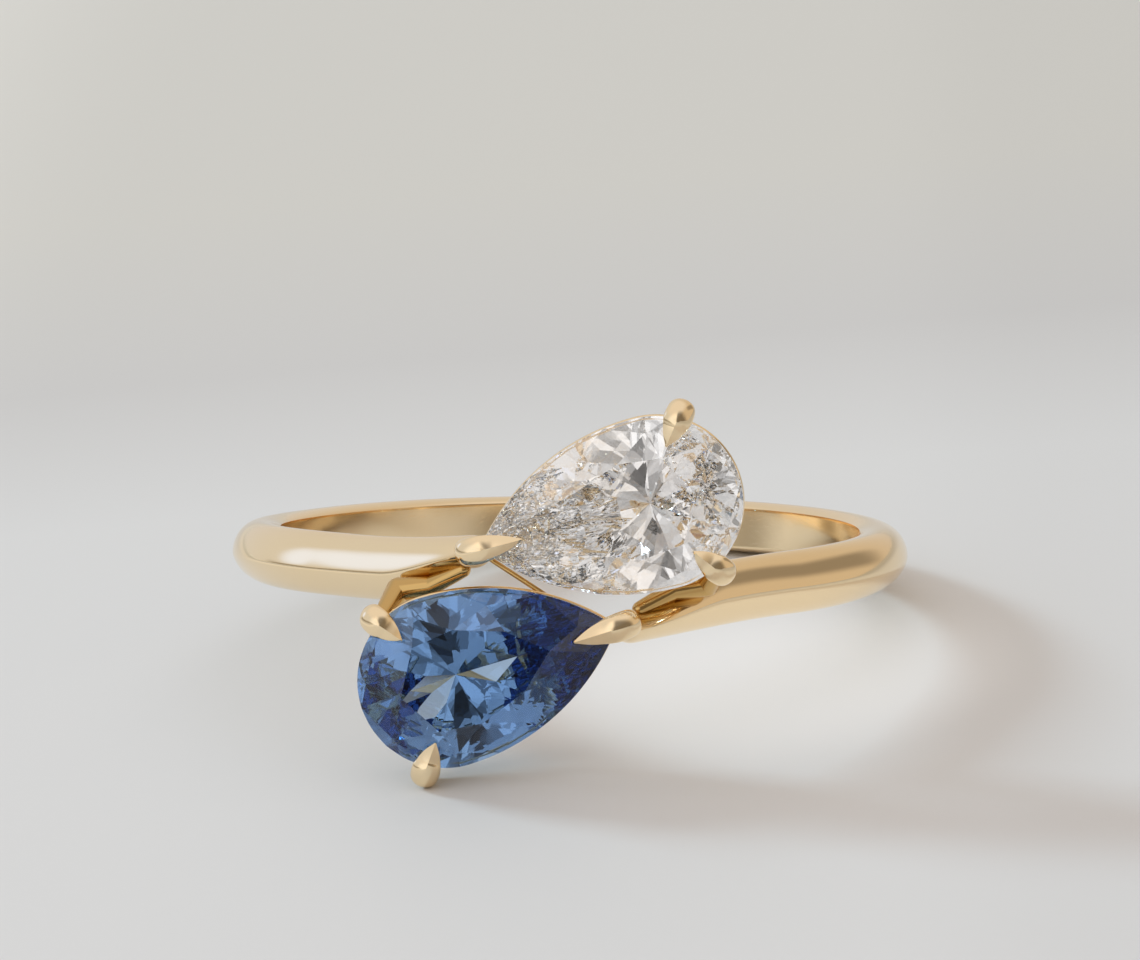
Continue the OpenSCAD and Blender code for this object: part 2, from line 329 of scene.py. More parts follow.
def props():
    return bpy.context.scene.toi_et_moi


# From the head's middle to an arm's end, around the ring, and from a culet to the lower rail's middle
END_ASIDE = 2.3
BASE_RISE = 0.25


class Sizes:
    """The ring's sizes in millimetres and degrees, read from the properties."""

    def __init__(self, p):
        band, stone, hold = p.shank, p.stones, p.settings
        self.bore_r = band.bore / 2 / MM
        self.thickness = band.thickness / MM
        self.back_height = band.back_height / MM
        self.shoulder_height = band.shoulder_height / MM
        self.tip_height = band.tip_height / MM
        self.lift_angle = math.degrees(band.lift_angle)
        self.girdle_r = stone.radius / MM
        self.end_angle = math.degrees(math.asin(END_ASIDE / self.girdle_r))
        self.length, self.width = stone.length / MM, stone.width / MM
        self.crown, self.pavilion, self.girdle = stone.crown / MM, stone.pavilion / MM, stone.girdle / MM
        self.table = stone.table
        self.aside, self.along = stone.aside / MM, stone.along / MM
        self.turns = {UP: math.degrees(stone.diamond_turn), DOWN: math.degrees(stone.sapphire_turn)}
        self.head_r = self.width / 2
        self.point_x = self.length - self.head_r
        self.wing_r = (self.point_x ** 2 + self.head_r ** 2) / (2 * self.head_r)
        self.wing_drop = self.wing_r - self.head_r
        self.culet = Vector((stone.culet / MM, 0.0))
        self.claw_width, self.claw_reach = hold.claw_width / MM, hold.claw_reach / MM
        self.tip_reach = hold.tip_reach / MM
        self.claw_place = math.degrees(hold.claw_angle) / 90
        self.rail_wire, self.base_wire = hold.rail_wire / MM, hold.base_wire / MM
        self.base_share = hold.base_share
        self.rail_z = -self.girdle / 2 - self.rail_wire
        self.base_z = -self.pavilion + BASE_RISE
        self.ridge = hold.ridge


def laid(p):
    """Carries the ring from its own axes, in millimetres, to where it lies on the floor."""
    place = p.place
    axis = Vector((math.cos(place.lean_axis), math.sin(place.lean_axis), 0))
    return (Matrix.Translation((0, place.shift, place.height)) @ Matrix.Rotation(place.lean, 4, axis)
            @ Matrix.Scale(MM, 4))


def at_stone(k, half):
    """Carries a stone's own frame to its place on the ring."""
    turn = k.turns[half] + (180 if half == UP else 0)
    return (Matrix.Translation((half * k.aside, -k.girdle_r, half * k.along))
            @ Matrix.Rotation(math.radians(90), 4, "X") @ Matrix.Rotation(math.radians(turn), 4, "Z"))


# The rule of the shank. An angle e is measured in degrees from the head, and lengths in millimetres.
# The outside and the inside of an arm's end, from the radius of the girdles
OVER_GIRDLE, UNDER_GIRDLE = 0.15, 1.15
# The outside rises along the first part of an ease curve, and each side of an arm with a power of it
RISE_PART, OUTSIDE_POWER, INSIDE_POWER = 0.72, 1.15, 1.7
# An arm grows higher from an angle on, its far edge over one run of degrees and its height over another
GROW_FROM, FAR_RUN, HEIGHT_RUN = 125, 90, 75
# The far edge's share of the shoulder's height, and how far it sweeps out towards the arm's end
FAR_SHARE, FAR_SWEEP, SWEEP_POWER = 0.64, 0.34, 2.2
# The height tapers over the last half of the lift
TAPER_RATE, TAPER_LAG = 2, 1.05


def lift(k, e):
    """Share of the way up an arm: 0 where it still follows the finger, 1 at its end."""
    return clamp((k.lift_angle - e) / (k.lift_angle - k.end_angle))


def band_outside(k, e):
    rise = (ease(lift(k, e) * RISE_PART) / ease(RISE_PART)) ** OUTSIDE_POWER
    return lerp(k.bore_r + k.thickness, k.girdle_r + OVER_GIRDLE, rise)


def band_inside(k, e):
    return lerp(k.bore_r, k.girdle_r - UNDER_GIRDLE, lift(k, e) ** INSIDE_POWER)


def far_edge(k, e):
    """From the ring's middle plane to the edge of an arm that faces away from the other stone."""
    edge = lerp(k.back_height / 2, FAR_SHARE * k.shoulder_height, ease((GROW_FROM - e) / FAR_RUN))
    return edge + FAR_SWEEP * lift(k, e) ** SWEEP_POWER


def near_edge(k, e):
    """From the same plane to the edge that faces the other stone: below 0 where it is across the plane."""
    height = lerp(k.back_height, k.shoulder_height, ease((GROW_FROM - e) / HEIGHT_RUN))
    return far_edge(k, e) - lerp(height, k.tip_height, ease(TAPER_RATE * lift(k, e) - TAPER_LAG))


# The rule of a pear's outline: u runs from -2, the round end, through 0, the point, to 2

def pear(k, u, inset=0.0):
    """The place u of the outline, or of one set in evenly."""
    v, side = abs(u), (-1 if u < 0 else 1)
    if v <= 1:
        r = k.wing_r - inset
        a = lerp(math.degrees(math.acos(-k.wing_drop / r)) - 90, 90, v)
        # the wing's arc is drawn about a centre on the other side of the long axis
        return Vector((r * cosine(a), side * (r * sine(a) - k.wing_drop)))
    return (k.head_r - inset) * Vector((cosine(90 * v), side * sine(90 * v)))


def pear_out(k, u):
    """The way out of the outline at the place u."""
    v, side = abs(u), (-1 if u < 0 else 1)
    tip = math.degrees(math.acos(-k.wing_drop / k.wing_r)) - 90
    a = 0 if v == 0 else lerp(tip, 90, v) if v <= 1 else 90 * v
    return Vector((cosine(a), side * sine(a)))


# Meshes

def mesh_object(name, mesh):
    obj = bpy.data.objects.new(name, mesh)
    bpy.context.scene.collection.objects.link(obj)
    return obj


def skin(bm, rings):
    """A closed skin over rings that have the same number of points, with a fan over each end."""
    rows = [[bm.verts.new(p) for p in ring] for ring in rings]
    for a, b in zip(rows, rows[1:]):
        for i in range(len(a)):
            j = (i + 1) % len(a)
            bm.faces.new((a[i], a[j], b[j], b[i]))
    for row, flip in ((rows[0], True), (rows[-1], False)):
        middle = bm.verts.new(sum((v.co for v in row), Vector()) / len(row))
        for i in range(len(row)):
            a, b = row[i], row[(i + 1) % len(row)]
            bm.faces.new((b, a, middle) if flip else (a, b, middle))


def bar(bm, a, b, ra, rb, shade=0.0, points=20, rounds=6):
    """A round bar from point a to point b, rounded off at both ends, with its share of painted shade."""
    along = (b - a).normalized()
    side = along.orthogonal().normalized()
    up = along.cross(side)
    rows = [(a, -ra * cosine(t), ra * sine(t)) for t in [90 * (i + 0.4) / rounds for i in range(rounds)]]
    rows += [(a, 0, ra), (b, 0, rb)]
    rows += [(b, rb * sine(t), rb * cosine(t)) for t in [90 * (i + 0.6) / rounds for i in range(rounds)]]
    before = len(bm.verts)
    skin(bm, [[c + d * along + r * (cosine(360 * j / points) * side + sine(360 * j / points) * up)
               for j in range(points)] for c, d, r in rows])
    bm.verts.ensure_lookup_table()
    layer = bm.verts.layers.float.get("shade") or bm.verts.layers.float.new("shade")
    for v in bm.verts[before:]:
        v[layer] = shade


def smooth_rows(rows, fine):
    """The rows with more between them, on a smooth curve through them all."""
    out = []
    for i in range(len(rows) - 1):
        a, b = rows[max(0, i - 1)], rows[i]
        c, d = rows[i + 1], rows[min(len(rows) - 1, i + 2)]
        for j in range(fine):
            t = j / fine
            out.append([0.5 * (2 * q + (r - p) * t + (2 * p - 5 * q + 4 * r - s) * t * t
                               + (3 * q - p - 3 * r + s) * t ** 3) for p, q, r, s in zip(a, b, c, d)])
    return out + [list(rows[-1])]


# Rows of a claw's body: place inwards, height over the girdle, half width and half thickness, for a
# claw of the drawn width
DRAWN_WIDTH = 0.8
BODY_ROWS = [(-0.08, -0.70, 0.22, 0.20), (-0.17, -0.38, 0.26, 0.23), (-0.24, -0.06, 0.33, 0.28),
             (-0.25, 0.19, 0.385, 0.31)]
# Rows of its talon over the crown: share of the reach, half width, half thickness, and how much of
# the ridge it has
TALON_ROWS = [(0.0, 0.39, 0.27, 0.35), (0.34, 0.315, 0.20, 0.9), (0.68, 0.20, 0.13, 1.1),
              (1.0, 0.045, 0.045, 1.1)]
# How far the talon starts over the girdle and stands off the crown, how many of its half thicknesses
# its middle lies over it, at the first row and at the others, and how steep the ridge's roof is
OVER_RIM, OFF_CROWN, FIRST_LIFT, TALON_LIFT, ROOF = 0.03, 0.02, 1.15, 1.05, 1.15
# Sections between two rows, shares of the last section that close the point, and how far it runs on
FINE, POINT_SHARES, POINT_LENGTH = 7, (0.8, 0.5, 0.2), 0.05


def claw(bm, k, place, reach, slope, outside=0.0, points=28):
    """One claw with a ridge along it: its own x runs inwards over the stone, z out of the ring."""
    scale, rim = k.claw_width / DRAWN_WIDTH, k.girdle / 2 + OVER_RIM
    line = [(scale * x - outside, scale * z, scale * w, scale * t, 0.0) for x, z, w, t in BODY_ROWS]
    for s, w, t, ridge in TALON_ROWS:
        over = (FIRST_LIFT if s == 0 else TALON_LIFT) * scale * t + OFF_CROWN
        line.append((s * reach, rim + slope * s * reach + over, scale * w, scale * t, k.ridge * ridge))
    line = smooth_rows(line, FINE)
    rings = []
    for i, (x, z, w, t, ridge) in enumerate(line):
        a, b = line[max(0, i - 1)], line[min(len(line) - 1, i + 1)]
        d = Vector((b[0] - a[0], b[1] - a[1])).normalized()
        ring = []
        for j in range(points):
            f = 90 + 360 * j / points
            s, c = sine(f), cosine(f)
            roof = lerp(s, ROOF * (1 - abs(c)), ridge) if s > 0 else s
            ring.append(place @ Vector((x - d[1] * t * roof, w * c, z + d[0] * t * roof)))
        rings.append(ring)
    # the point is closed by smaller and smaller sections
    last, before = rings[-1], rings[-2]
    middle = sum(last, Vector()) / points
    ahead = (middle - sum(before, Vector()) / points).normalized() * POINT_LENGTH
    for s in POINT_SHARES:
        rings.append([middle + (p - middle) * s + ahead * math.sqrt(1 - s * s) for p in last])
    skin(bm, rings)


def to_mesh(obj):
    """Turns what the modifiers make into the object's own plain mesh."""
    graph = bpy.context.evaluated_depsgraph_get()
    mesh = bpy.data.meshes.new_from_object(obj.evaluated_get(graph), depsgraph=graph)
    obj.modifiers.clear()
    obj.data = mesh
    return mesh


def run_tree(name, tree, values):
    """Runs a Geometry Nodes tree on an empty mesh and gives its result as a plain mesh."""
    obj = mesh_object(name, bpy.data.meshes.new(name))
    modifier = obj.modifiers.new(name, "NODES")
    modifier.node_group = tree
    for item in tree.interface.items_tree:
        if item.item_type == "SOCKET" and item.in_out == "INPUT" and item.name in values:
            modifier[item.identifier] = values[item.name]
    bpy.context.view_layer.update()
    mesh = to_mesh(obj)
    bpy.data.objects.remove(obj)
    return mesh


def group(name, inputs):
    """An empty Geometry Nodes tree with named inputs, and the wires that they give."""
    tree = bpy.data.node_groups.new(name, "GeometryNodeTree")
    for key, (kind, default) in inputs.items():
        socket = tree.interface.new_socket(key, in_out="INPUT", socket_type=kind)
        if default is not None:
            socket.default_value = default
    tree.interface.new_socket("Geometry", in_out="OUTPUT", socket_type="NodeSocketGeometry")
    build = Tree(tree)
    given = build.add("NodeGroupInput")
    return tree, build, {key: given.out(key) for key in inputs}


def wrapped_grid(build, across, around):
    """A flat grid to be bent into a tube: its mesh, and each point's shares along and around it."""
    grid = build.add("GeometryNodeMeshGrid", None, {
        "Size X": 1.0, "Size Y": 1.0, "Vertices X": across, "Vertices Y": around})
    place = build.add("ShaderNodeSeparateXYZ", None, {0: build.add("GeometryNodeInputPosition").out()})
    return grid.out("Mesh"), place.out("X") + 0.5, place.out("Y") + 0.5


# Points closer than this are made one
MERGE_WITHIN = 0.0005


def close_tube(build, mesh, x, y, z, material):
    """Bends the grid to its places, closes its seams and gives it its gold."""
    place = build.add("ShaderNodeCombineXYZ", None, {"X": x, "Y": y, "Z": z}).out()
    bent = build.add("GeometryNodeSetPosition", None, {"Geometry": mesh, "Position": place}).out()
    closed = build.add("GeometryNodeMergeByDistance", None, {
        "Geometry": bent, "Distance": MERGE_WITHIN}).out()
    smooth = build.add("GeometryNodeSetShadeSmooth", None, {"Geometry": closed, "Shade Smooth": True}).out()
    real = build.add("GeometryNodeRealizeInstances", None, {"Geometry": smooth}).out()
    done = build.add("GeometryNodeSetMaterial", None, {"Geometry": real, "Material": material}).out()
    build.add("NodeGroupOutput", None, {0: done})


FLOAT, INT, MATERIAL = "NodeSocketFloat", "NodeSocketInt", "NodeSocketMaterial"


class Given:
    """Sizes of a rule that come from sockets."""

    def __init__(self, **wires):
        self.__dict__.update(wires)


# The grid runs on past each arm's end by a share of its run, and rounds it off over some degrees
CAP_RUN, CAP_ANGLE = 0.06, 3.2
# Where a section's middle lies between inside and outside, and how far its inner half reaches into the
# finger hole before the hole cuts it round, except on the arms
SECTION_MIDDLE, SUNK, SUNK_RATE = 0.4, 0.4, 1.4
# The soft ridge: how far it lies under the middle, how soft it is, its two slopes, and where it starts
RIDGE_OFF, RIDGE_SOFT, RIDGE_SLOPES, RIDGE_FROM, RIDGE_RUN = 0.12, 0.0016, (0.88, 1.12), 105, 55
# How softly the hole's edges are rounded
HOLE_EDGE = 0.06
# The middle of a run counts as part of its second half
JUST_UNDER_ZERO = -1e-6


def shank_tree():
    """The shank: a tube whose section follows the rule above, from one arm's end to the other's."""
    tree, build, g = group("Bypass shank", {
        "Sections": (INT, 441), "Points": (INT, 72), "Bore radius": (FLOAT, 8.25), "Thickness": (FLOAT, 1.37),
        "Back height": (FLOAT, 1.5), "Shoulder height": (FLOAT, 1.75), "Tip height": (FLOAT, 0.9),
        "Lift angle": (FLOAT, 46.0), "Girdle radius": (FLOAT, 11.2), "End angle": (FLOAT, 11.85),
        "Ridge": (FLOAT, 0.38), "Gold": (MATERIAL, None)})
    k = Given(bore_r=g["Bore radius"], thickness=g["Thickness"], back_height=g["Back height"],
              shoulder_height=g["Shoulder height"], tip_height=g["Tip height"], lift_angle=g["Lift angle"],
              girdle_r=g["Girdle radius"], end_angle=g["End angle"])
    mesh, u, v = wrapped_grid(build, g["Sections"], g["Points"])
    run = (u * 2 - 1) * (1 + CAP_RUN)
    side = (run > JUST_UNDER_ZERO) * 2 - 1
    beyond = clamp((abs(run) - 1) / CAP_RUN) * 90
    size, ahead = cosine(beyond), sine(beyond) * CAP_ANGLE
    e = 180 - clamp(abs(run)) * (180 - k.end_angle)
    turn = e - ahead
    out, inside = band_outside(k, e), band_inside(k, e)
    sunk = SUNK * (1 - ease(lift(k, e) * SUNK_RATE))
    mid = lerp(inside, out, SECTION_MIDDLE)
    far, near = far_edge(k, e), near_edge(k, e)
    c, s = cosine(v * 360), sine(v * 360)
    outer = c > 0
    # a soft ridge runs along the outside of the arms, a little below the middle
    off = s + RIDGE_OFF
    slope = off.math("SQRT", off * off + RIDGE_SOFT) / lerp(*RIDGE_SLOPES, off > 0)
    shape = lerp(c, 1 - slope, g["Ridge"] * ease((RIDGE_FROM - e) / RIDGE_RUN) * outer)
    r = mid + size * shape * lerp(mid - inside + sunk, out - mid, outer)
    # the finger hole is a true round with softened edges
    r = r.math("SMOOTH_MAX", r, k.bore_r, HOLE_EDGE)
    z = size * (far - near) / 2 * s - side * (far + near) / 2
    close_tube(build, mesh, side * r * sine(turn), -r * cosine(turn), z, g["Gold"])
    return tree


# The part of a rail's run in which it turns round the point
POINT_RUN = 0.04


def rail_tree():
    """A rail: a closed round wire that follows a pear's outline, shrunk towards the culet."""
    tree, build, g = group("Pear rail", {
        "Steps": (INT, 240), "Points": (INT, 20), "Head radius": (FLOAT, 2.35), "Wing radius": (FLOAT, 6.28),
        "Wing drop": (FLOAT, 3.93), "Inset": (FLOAT, 0.1), "Share": (FLOAT, 1.0), "Culet": (FLOAT, 0.45),
        "Wire radius": (FLOAT, 0.2), "Height": (FLOAT, -0.46), "Gold": (MATERIAL, None)})
    mesh, u, v = wrapped_grid(build, g["Steps"], g["Points"])
    run = u * 4 - 2
    side = (run > JUST_UNDER_ZERO) * 2 - 1
    way = abs(run)
    wing = 1 - (way > 1)
    r = g["Wing radius"] - g["Inset"]
    tip_cosine = -g["Wing drop"] / r
    tip = tip_cosine.math("ARCCOSINE", tip_cosine) * (180 / math.pi) - 90
    a = lerp(90 * way, lerp(tip, 90, way), wing)
    x = lerp((g["Head radius"] - g["Inset"]) * cosine(a), r * cosine(a), wing)
    y = lerp((g["Head radius"] - g["Inset"]) * sine(a), r * sine(a) - g["Wing drop"], wing)
    facing = a * ease(way / POINT_RUN)
    x = g["Culet"] + g["Share"] * (x - g["Culet"])
    y = g["Share"] * y
    c, s = cosine(v * 360) * g["Wire radius"], sine(v * 360) * g["Wire radius"]
    x, y = x + c * cosine(facing), side * (y + c * sine(facing))
    close_tube(build, mesh, x, y, g["Height"] + s, g["Gold"])
    return tree


# Finishes

def opaque(colour, level=1.0):
    """A colour with its alpha, brought to a level."""
    return tuple(c * level for c in colour) + (1.0,)


def material(name):
    made = bpy.data.materials.new(name)
    made.use_nodes = True
    return made, Tree(made.node_tree)


# Rubbed marks along the ring: their scale on each axis, and from where and how fast they show
MARK_SCALE, MARKS_FROM, MARKS_RATE = (2500.0, 2500.0, 26000.0), 0.56, 5
# What the wheel's unevenness and the marks add to the roughness, and the marks to the bump
UNEVEN_ROUGH, MARKED_ROUGH, MARKED_BUMP = 0.05, 0.03, 0.1
# How light the rubbed marks are, the painted amber shade for gold that lies in the shade of other gold, and
# their shares
WORN_LEVEL, WORN_SHARE = 1.06, 0.5
PAINTED_AMBER, PAINTED_AMBER_SHARE = (0.56, 0.335, 0.09), 0.85


def polished_gold(p):
    """Warm polished gold: faint rubbed marks, a soft unevenness from the polishing wheel, and painted amber
    shade where the 'shade' attribute is set.
    """
    made, build = material("Polished gold")
    place = build.add("ShaderNodeTexCoord").out("Object")
    wide = build.add("ShaderNodeTexNoise", None, {"Vector": place, "Scale": 420.0, "Detail": 3.0}).out(0)
    across = build.add("ShaderNodeMapping", None, {"Vector": place, "Scale": MARK_SCALE}).out()
    rubbed = build.add("ShaderNodeTexNoise", None, {
        "Vector": across, "Scale": 1.0, "Detail": 4.0, "Roughness": 0.7}).out(0)
    marks = ease((rubbed - MARKS_FROM) * MARKS_RATE)
    rough = p.settings.polish + UNEVEN_ROUGH * (wide - 0.5) + MARKED_ROUGH * marks
    worn = opaque(min(1.0, c * WORN_LEVEL) for c in p.settings.gold)
    colour = build.mix(marks * WORN_SHARE, opaque(p.settings.gold), worn)
    # painted shade: where the 'shade' attribute is set, between the arms and the stones, the base colour is
    # painted amber, standing in for the light that goes from gold to gold there
    shade = build.add("ShaderNodeAttribute", {"attribute_name": "shade"}).out("Fac")
    colour = build.mix(shade * PAINTED_AMBER_SHARE, colour, opaque(PAINTED_AMBER))
    bump = build.add("ShaderNodeBump", None, {
        "Strength": 0.05, "Distance": 0.00004, "Height": wide + MARKED_BUMP * marks})
    shader = build.add("ShaderNodeBsdfPrincipled", None, {
        "Base Color": colour, "Metallic": 1.0, "Roughness": rough, "Normal": bump.out()})
    build.add("ShaderNodeOutputMaterial", None, {0: shader.out()})
    return made


# How strongly the stones bend light, how grey the diamond's clouds are, and the sapphire's zones
DIAMOND_BEND, SAPPHIRE_BEND = 2.417, 1.77
CLOUD_LEVEL = 0.93
PALE_ZONE, DEEP_ZONE = (0.90, 0.95, 1.0), (0.82, 0.90, 1.0)
SAPPHIRE_SHINE = (0.62, 0.60, 0.60)


def cut_diamond(p):
    """Diamond: clear, with its strong bending of light and the faintest grey clouds."""
    made, build = material("Diamond")
    place = build.add("ShaderNodeTexCoord").out("Object")
    cloud = build.add("ShaderNodeTexNoise", None, {"Vector": place, "Scale": 1500.0, "Detail": 3.0}).out(0)
    tint = p.stones.diamond_tint
    colour = build.mix(ease((cloud - 0.5) * 4), opaque(tint), opaque(tint, CLOUD_LEVEL))
    shader = build.add("ShaderNodeBsdfPrincipled", None, {
        "Base Color": colour, "Roughness": 0.0, "IOR": DIAMOND_BEND, "Transmission Weight": 1.0})
    build.add("ShaderNodeOutputMaterial", None, {0: shader.out()})
    return made


def cut_sapphire(p):
    """Sapphire: light turns cornflower on a short way through the stone and navy on a long one.

    Its shine is held back a little, so that the blue isn't veiled.
    """
    made, build = material("Sapphire")
    place = build.add("ShaderNodeTexCoord").out("Object")
    zones = build.add("ShaderNodeTexNoise", None, {"Vector": place, "Scale": 700.0, "Detail": 2.0}).out(0)
    colour = build.mix(ease((zones - 0.45) * 3), opaque(PALE_ZONE), opaque(DEEP_ZONE))
    shader = build.add("ShaderNodeBsdfPrincipled", None, {
        "Base Color": colour, "Roughness": 0.0, "IOR": SAPPHIRE_BEND, "Transmission Weight": 1.0,
        "Specular Tint": opaque(SAPPHIRE_SHINE)})
    depth = build.add("ShaderNodeVolumeAbsorption", None, {
        "Color": opaque(p.stones.sapphire_tint), "Density": p.stones.sapphire_depth})
    build.add("ShaderNodeOutputMaterial", None, {"Surface": shader.out(), "Volume": depth.out()})
    return made


# The pieces

# Edges of the gold that turn by more degrees than this stay sharp
SHARP_FROM = 42


def gold_finish(p):
    return bpy.data.materials.get("Polished gold") or polished_gold(p)


def finish_gold(name, bm, p, matrix):
    """Lays the gold down where it belongs and lets it stand for the plain gold node."""
    bm.transform(matrix)
    bmesh.ops.recalc_face_normals(bm, faces=bm.faces)
    mesh = bpy.data.meshes.new(name)
    bm.to_mesh(mesh)
    bm.free()
    mesh.shade_smooth()
    mesh.set_sharp_from_angle(angle=math.radians(SHARP_FROM))
    mesh.materials.append(gold_finish(p))
    obj = mesh_object(name, mesh)
    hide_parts("gold_mount")
    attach(obj, "root")


# The painted shade on an arm's end, which turns the gold there amber: how far it reaches from the head, in
# degrees, and from the edge that faces the other stone, with the run over which each fades, and its strength
SHADE_ANGLE, SHADE_ANGLE_FADE, SHADE_DEPTH, SHADE_DEPTH_FADE, SHADE_LEVEL = 27, 6, 0.56, 0.25, 1.15


def paint_shade_on_arm_ends(bm, k):
    """Writes painted shade where the arms' ends face the other stone, and see mostly gold."""
    layer = bm.verts.layers.float.new("shade")
    for v in bm.verts:
        x, y, z = v.co
        e = math.degrees(math.atan2(abs(x), -y))
        depth = -math.copysign(1.0, x) * z - near_edge(k, e)
        near_head = ease((SHADE_ANGLE - e) / SHADE_ANGLE_FADE)
        v[layer] = SHADE_LEVEL * near_head * ease((SHADE_DEPTH - depth) / SHADE_DEPTH_FADE)


class RING_OT_shank(bpy.types.Operator):
    """Makes the bypass shank with its two tapering arms"""
    bl_idname = "ring.shank"
    bl_label = "Shank"

    def execute(self, context):
        p = props()
        k = Sizes(p)
        tube = run_tree("shank_tube", shank_tree(), {
            "Sections": p.shank.rings, "Points": p.shank.points, "Bore radius": k.bore_r,
            "Thickness": k.thickness, "Back height": k.back_height, "Shoulder height": k.shoulder_height,
            "Tip height": k.tip_height, "Lift angle": k.lift_angle, "Girdle radius": k.girdle_r,
            "End angle": k.end_angle, "Ridge": p.shank.ridge, "Gold": gold_finish(p)})
        bm = bmesh.new()
        bm.from_mesh(tube)
        paint_shade_on_arm_ends(bm, k)
        finish_gold("shank", bm, p, laid(p))
        return {"FINISHED"}


# The rails: the upper one is set in under the girdle, and the lower one is shrunk to its share
RAIL_INSET = 0.15
# Claw legs: radius at the claw and at the lower rail, height at the claw, and how far outside the outline
SIDE_LEG, SIDE_LEG_TOP, SIDE_LEG_OUT = (0.21, 0.24), -0.6, 0.08
POINT_LEG, POINT_LEG_TOP, POINT_LEG_OUT = (0.26, 0.26), -0.7, 0.1
POINT_CLAW_OUT = 0.12
# The leg to the other stone's arm: its start at the inner side claw, as a share of the outline and a
# height, its bends as angle, distance from the arm's outside and from its near edge, and its radii
ARM_LEG_SHARE, ARM_LEG_TOP = 1.02, -0.55
ARM_LEG_BENDS = ((23, 0.12, 0.2), (18, -0.3, -0.08), (13, -0.6, 0.02))
ARM_LEG_RADII = ((0.24, 0.36), (0.36, 0.27), (0.27, 0.22))
# The thin wire: its start at the diamond's point, its end on the sapphire's outline, and its radius
WIRE_START, WIRE_END, WIRE_RADIUS = (0.08, 0.2, -0.85), 0.3, 0.07


def claws_and_legs(bm, k):
    """The two side claws and the claw over the point, in the stone's own frame, with their legs."""
    rise = k.crown - k.girdle / 2
    for side in (-1, 1):
        u = side * k.claw_place
        g = pear(k, u)
        inwards = (k.culet - g).normalized()
        slope = rise / ((1 - k.table) * (g - k.culet).dot(pear_out(k, u)))
        place = (Matrix.Translation((g[0], g[1], 0))
                 @ Matrix.Rotation(math.atan2(inwards[1], inwards[0]), 4, "Z"))
        claw(bm, k, place, k.claw_reach, slope)
        top, foot = g - SIDE_LEG_OUT * inwards, k.culet + k.base_share * (g - k.culet)
        bar(bm, Vector((top[0], top[1], SIDE_LEG_TOP)), Vector((foot[0], foot[1], k.base_z)), *SIDE_LEG)
    place = Matrix.Translation((k.point_x, 0, 0)) @ Matrix.Rotation(math.pi, 4, "Z")
    slope = rise / ((1 - k.table) * (k.point_x - k.culet[0]))
    claw(bm, k, place, k.tip_reach, slope, POINT_CLAW_OUT)
    foot_x = k.culet[0] + k.base_share * (k.point_x - k.culet[0])
    bar(bm, Vector((k.point_x + POINT_LEG_OUT, 0, POINT_LEG_TOP)), Vector((foot_x, 0, k.base_z)), *POINT_LEG)


def arm_leg(bm, k, half):
    """The leg from the inner side claw, which bends at the other stone's arm and follows it to its end."""
    g = pear(k, k.claw_place) * ARM_LEG_SHARE
    line = [at_stone(k, half) @ Vector((g[0], g[1], ARM_LEG_TOP))]
    for e, out, aside in ARM_LEG_BENDS:
        r = band_outside(k, e) + out
        line.append(Vector((half * r * sine(e), -r * cosine(e), -half * (near_edge(k, e) + aside))))
    for a, b, radii in zip(line, line[1:], ARM_LEG_RADII):
        # painted shade: these legs are painted amber all over
        bar(bm, a, b, *radii, shade=1.0)


def thin_wire(bm, k):
    """The wire from the foot of the diamond's point claw to the sapphire's upper rail."""
    x, y, z = WIRE_START
    g = pear(k, WIRE_END, RAIL_INSET)
    start = at_stone(k, UP) @ Vector((k.point_x + x, y, z))
    end = at_stone(k, DOWN) @ Vector((g[0], g[1], k.rail_z))
    # painted shade: the wire is painted amber all over
    bar(bm, start, end, WIRE_RADIUS, WIRE_RADIUS, shade=1.0)


def setting(p, half, name):
    """One stone's setting: two rails, the claws and their legs, and the thin wire at the diamond."""
    k = Sizes(p)
    rails = rail_tree()
    common = {"Head radius": k.head_r, "Wing radius": k.wing_r, "Wing drop": k.wing_drop,
              "Culet": k.culet[0], "Gold": gold_finish(p)}
    upper = {"Inset": RAIL_INSET, "Share": 1.0, "Wire radius": k.rail_wire / 2, "Height": k.rail_z}
    lower = {"Inset": 0.0, "Share": k.base_share, "Wire radius": k.base_wire / 2, "Height": k.base_z}
    bm = bmesh.new()
    for values in (upper, lower):
        bm.from_mesh(run_tree(name + "_rail", rails, {**common, **values}))
    claws_and_legs(bm, k)
    bm.transform(at_stone(k, half))
    arm_leg(bm, k, half)
    if half == UP:
        thin_wire(bm, k)
    finish_gold(name, bm, p, laid(p))


class RING_OT_settings(bpy.types.Operator):
    """Makes the two claw settings"""
    bl_idname = "ring.settings"
    bl_label = "Settings"

    def execute(self, context):
        setting(props(), UP, "diamond_setting")
        setting(props(), DOWN, "sapphire_setting")
        return {"FINISHED"}


# Rows of facet corners below a girdle: share of the outline, corners in the row, and turn in steps;
# then how full the rows lie, as a power, and how much of a keel runs to the point
DIAMOND_ROWS = [(0.86, 32, 0.0), (0.71, 27, 0.5), (0.56, 22, 0.0), (0.41, 15, 0.5), (0.27, 8, 0.0)]
DIAMOND_BULGE, DIAMOND_KEEL = 1.04, 0.6
SAPPHIRE_ROWS = [(0.84, 22, 0.0), (0.66, 17, 0.5), (0.48, 14, 0.0), (0.30, 9, 0.5)]
SAPPHIRE_BULGE, SAPPHIRE_KEEL = 1.06, 0.4
# Places of the main facets on a wing, besides the claws, the point and the round end
NEAR_MAIN, FAR_MAIN = 0.4, 0.84
# Where the star facets end, as a share of the crown's height, and the halves, of the pavilion's depth
STAR_SHARE, HALF_SHARE = 0.52, 0.74
# Steps along the girdle between two facets
GIRDLE_STEPS = 7


def wrap(u):
    """The same place of the outline, from -2 to 2."""
    return u - 4 if u > 2 else u + 4 if u < -2 else u


